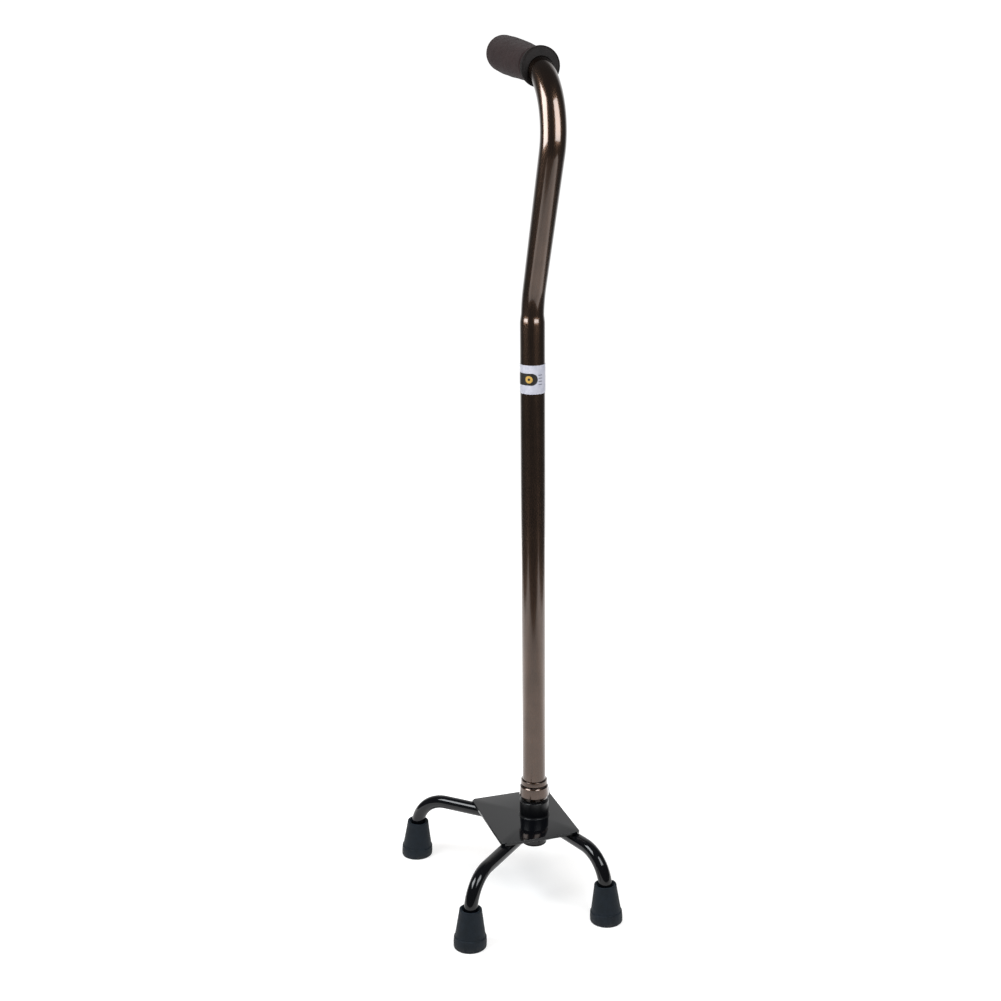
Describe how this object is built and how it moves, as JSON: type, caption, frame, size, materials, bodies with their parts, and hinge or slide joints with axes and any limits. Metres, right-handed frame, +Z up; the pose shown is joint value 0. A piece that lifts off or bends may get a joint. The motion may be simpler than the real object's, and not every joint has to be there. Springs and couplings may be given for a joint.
{
  "type": "quad walking cane",
  "caption": "Height-adjustable walking cane with an offset swan neck, foam grip and a small base plate on bent legs with rubber tips.",
  "frame": {"origin": "on the floor, midway between the tips", "axes": "+Z up along the shaft; +X the way the neck bows, forwards in use; the grip runs back along -X; +Y towards the inner side, beside the user's leg"},
  "size_m": [0.2144, 0.1638, 0.7956],
  "materials": {
    "bronze_anodised": "satin bronze anodising",
    "bare_aluminium": "drawn, satin",
    "black_enamel": "high gloss black powder coat",
    "zinc_steel": "zinc plated",
    "black_plastic": "moulded, matt",
    "flange_rubber": "moulded, matt black",
    "grip_foam": "closed-cell foam, dark brown",
    "tip_rubber": "moulded, slate black",
    "nylon": "natural nylon",
    "label": "white film"
  },
  "bodies": {
    "base": {"base_plate": "black_enamel", "base_socket": "black_enamel", "socket_boss": "black_enamel", "socket_weld": "black_enamel", "socket_cap": "black_plastic", "socket_rivet": "zinc_steel", "inner_tube": "bare_aluminium", "glide_bush": "nylon", "button_spring": "zinc_steel", "leg_front_outer": "black_enamel", "leg_front_inner": "black_enamel", "leg_rear_outer": "black_enamel", "leg_rear_inner": "black_enamel", "leg_welds": "black_enamel", "tip_front_outer": "tip_rubber", "tip_front_inner": "tip_rubber", "tip_rear_outer": "tip_rubber", "tip_rear_inner": "tip_rubber", "tip_washers": "zinc_steel"},
    "handle": {"handle_tube": "bronze_anodised", "tube_end_plug": "black_plastic", "foam_grip": "grip_foam", "grip_flange": "flange_rubber", "label_band": "label", "collar_ring": "bronze_anodised", "collet": "nylon"},
    "nut": {"lock_nut": "bronze_anodised"},
    "button": {"snap_button": "zinc_steel"}
  },
  "joints": [
    {"name": "height_slide", "type": "slide", "parent": "base", "child": "handle", "axis": [0, 0, 1], "range_m": [0, 0.1524]},
    {"name": "nut_turn", "type": "hinge", "parent": "handle", "child": "nut", "pos_m": [0, 0.02675, 0.098], "axis": [0, 0, 1], "range_deg": [0, 360]},
    {"name": "button_press", "type": "slide", "parent": "base", "child": "button", "axis": [1, 0, 0], "range_m": [0, 0.004], "stiffness_N_per_m": 800, "springref_m": -0.003, "deforming": ["button_spring"]}
  ]
}
